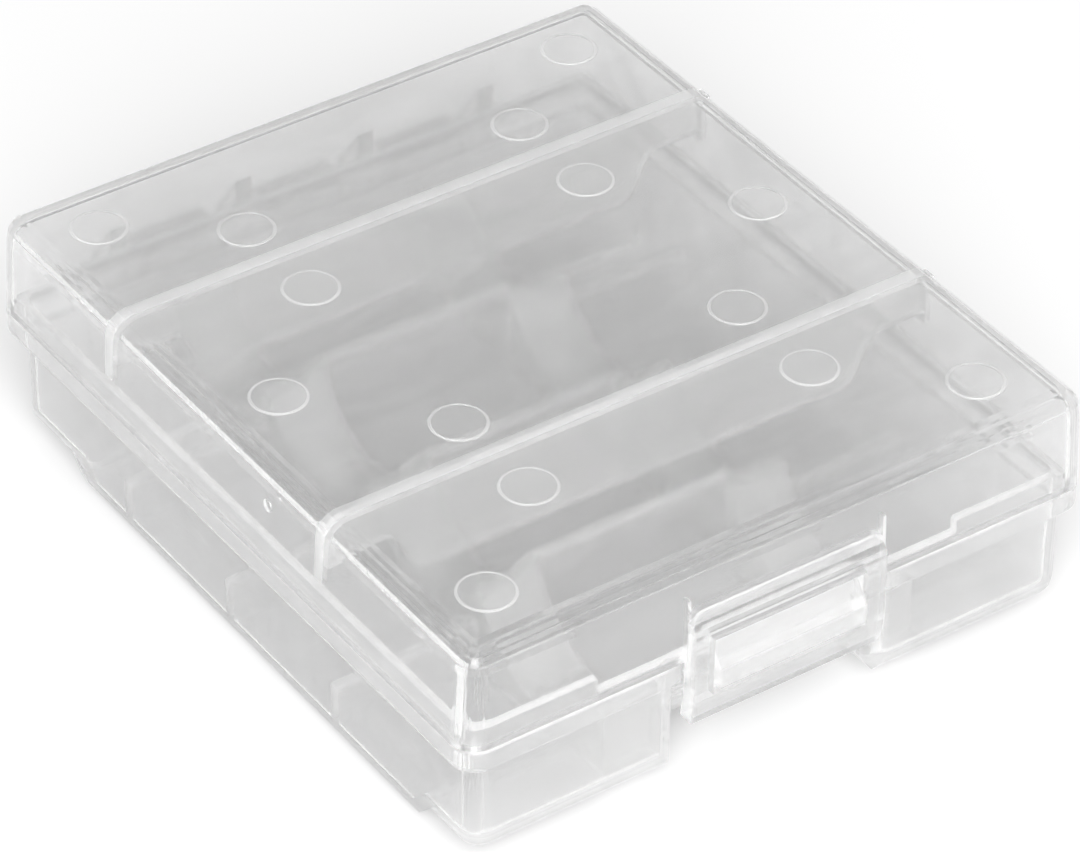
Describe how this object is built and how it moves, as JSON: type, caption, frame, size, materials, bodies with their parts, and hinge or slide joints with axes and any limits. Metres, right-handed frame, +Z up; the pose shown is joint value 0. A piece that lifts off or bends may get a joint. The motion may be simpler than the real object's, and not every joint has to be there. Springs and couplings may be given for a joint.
{
  "type": "battery storage case",
  "caption": "Clear moulded case for cylindrical battery cells, with a divided tray, a hinged lid and a latch flap at the front.",
  "frame": {"origin": "centre of the footprint, on the surface that the case rests on", "axes": "+X along the cells, -Y towards the latch, +Y towards the hinge, +Z up"},
  "size_m": [0.0606, 0.0744, 0.0226],
  "materials": {
    "tray_plastic": "clear moulded polypropylene, slightly milky",
    "lid_plastic": "clear moulded polypropylene, smooth outside",
    "latch_plastic": "clear moulded polypropylene, slightly milky"
  },
  "bodies": {
    "tray": {"base_tray": "tray_plastic"},
    "lid": {"hinged_lid": "lid_plastic"},
    "latch": {"latch_flap": "latch_plastic"}
  },
  "joints": [
    {"name": "lid_hinge", "type": "hinge", "parent": "tray", "child": "lid", "pos_m": [0, 0.03574, 0.0113], "axis": [-1, 0, 0], "range_deg": [0, 180]},
    {"name": "latch_flex", "type": "hinge", "parent": "lid", "child": "latch", "pos_m": [0, -0.03573, 0.01715], "axis": [-1, 0, 0], "range_deg": [0, 14], "stiffness_Nm_per_rad": 0.15}
  ]
}
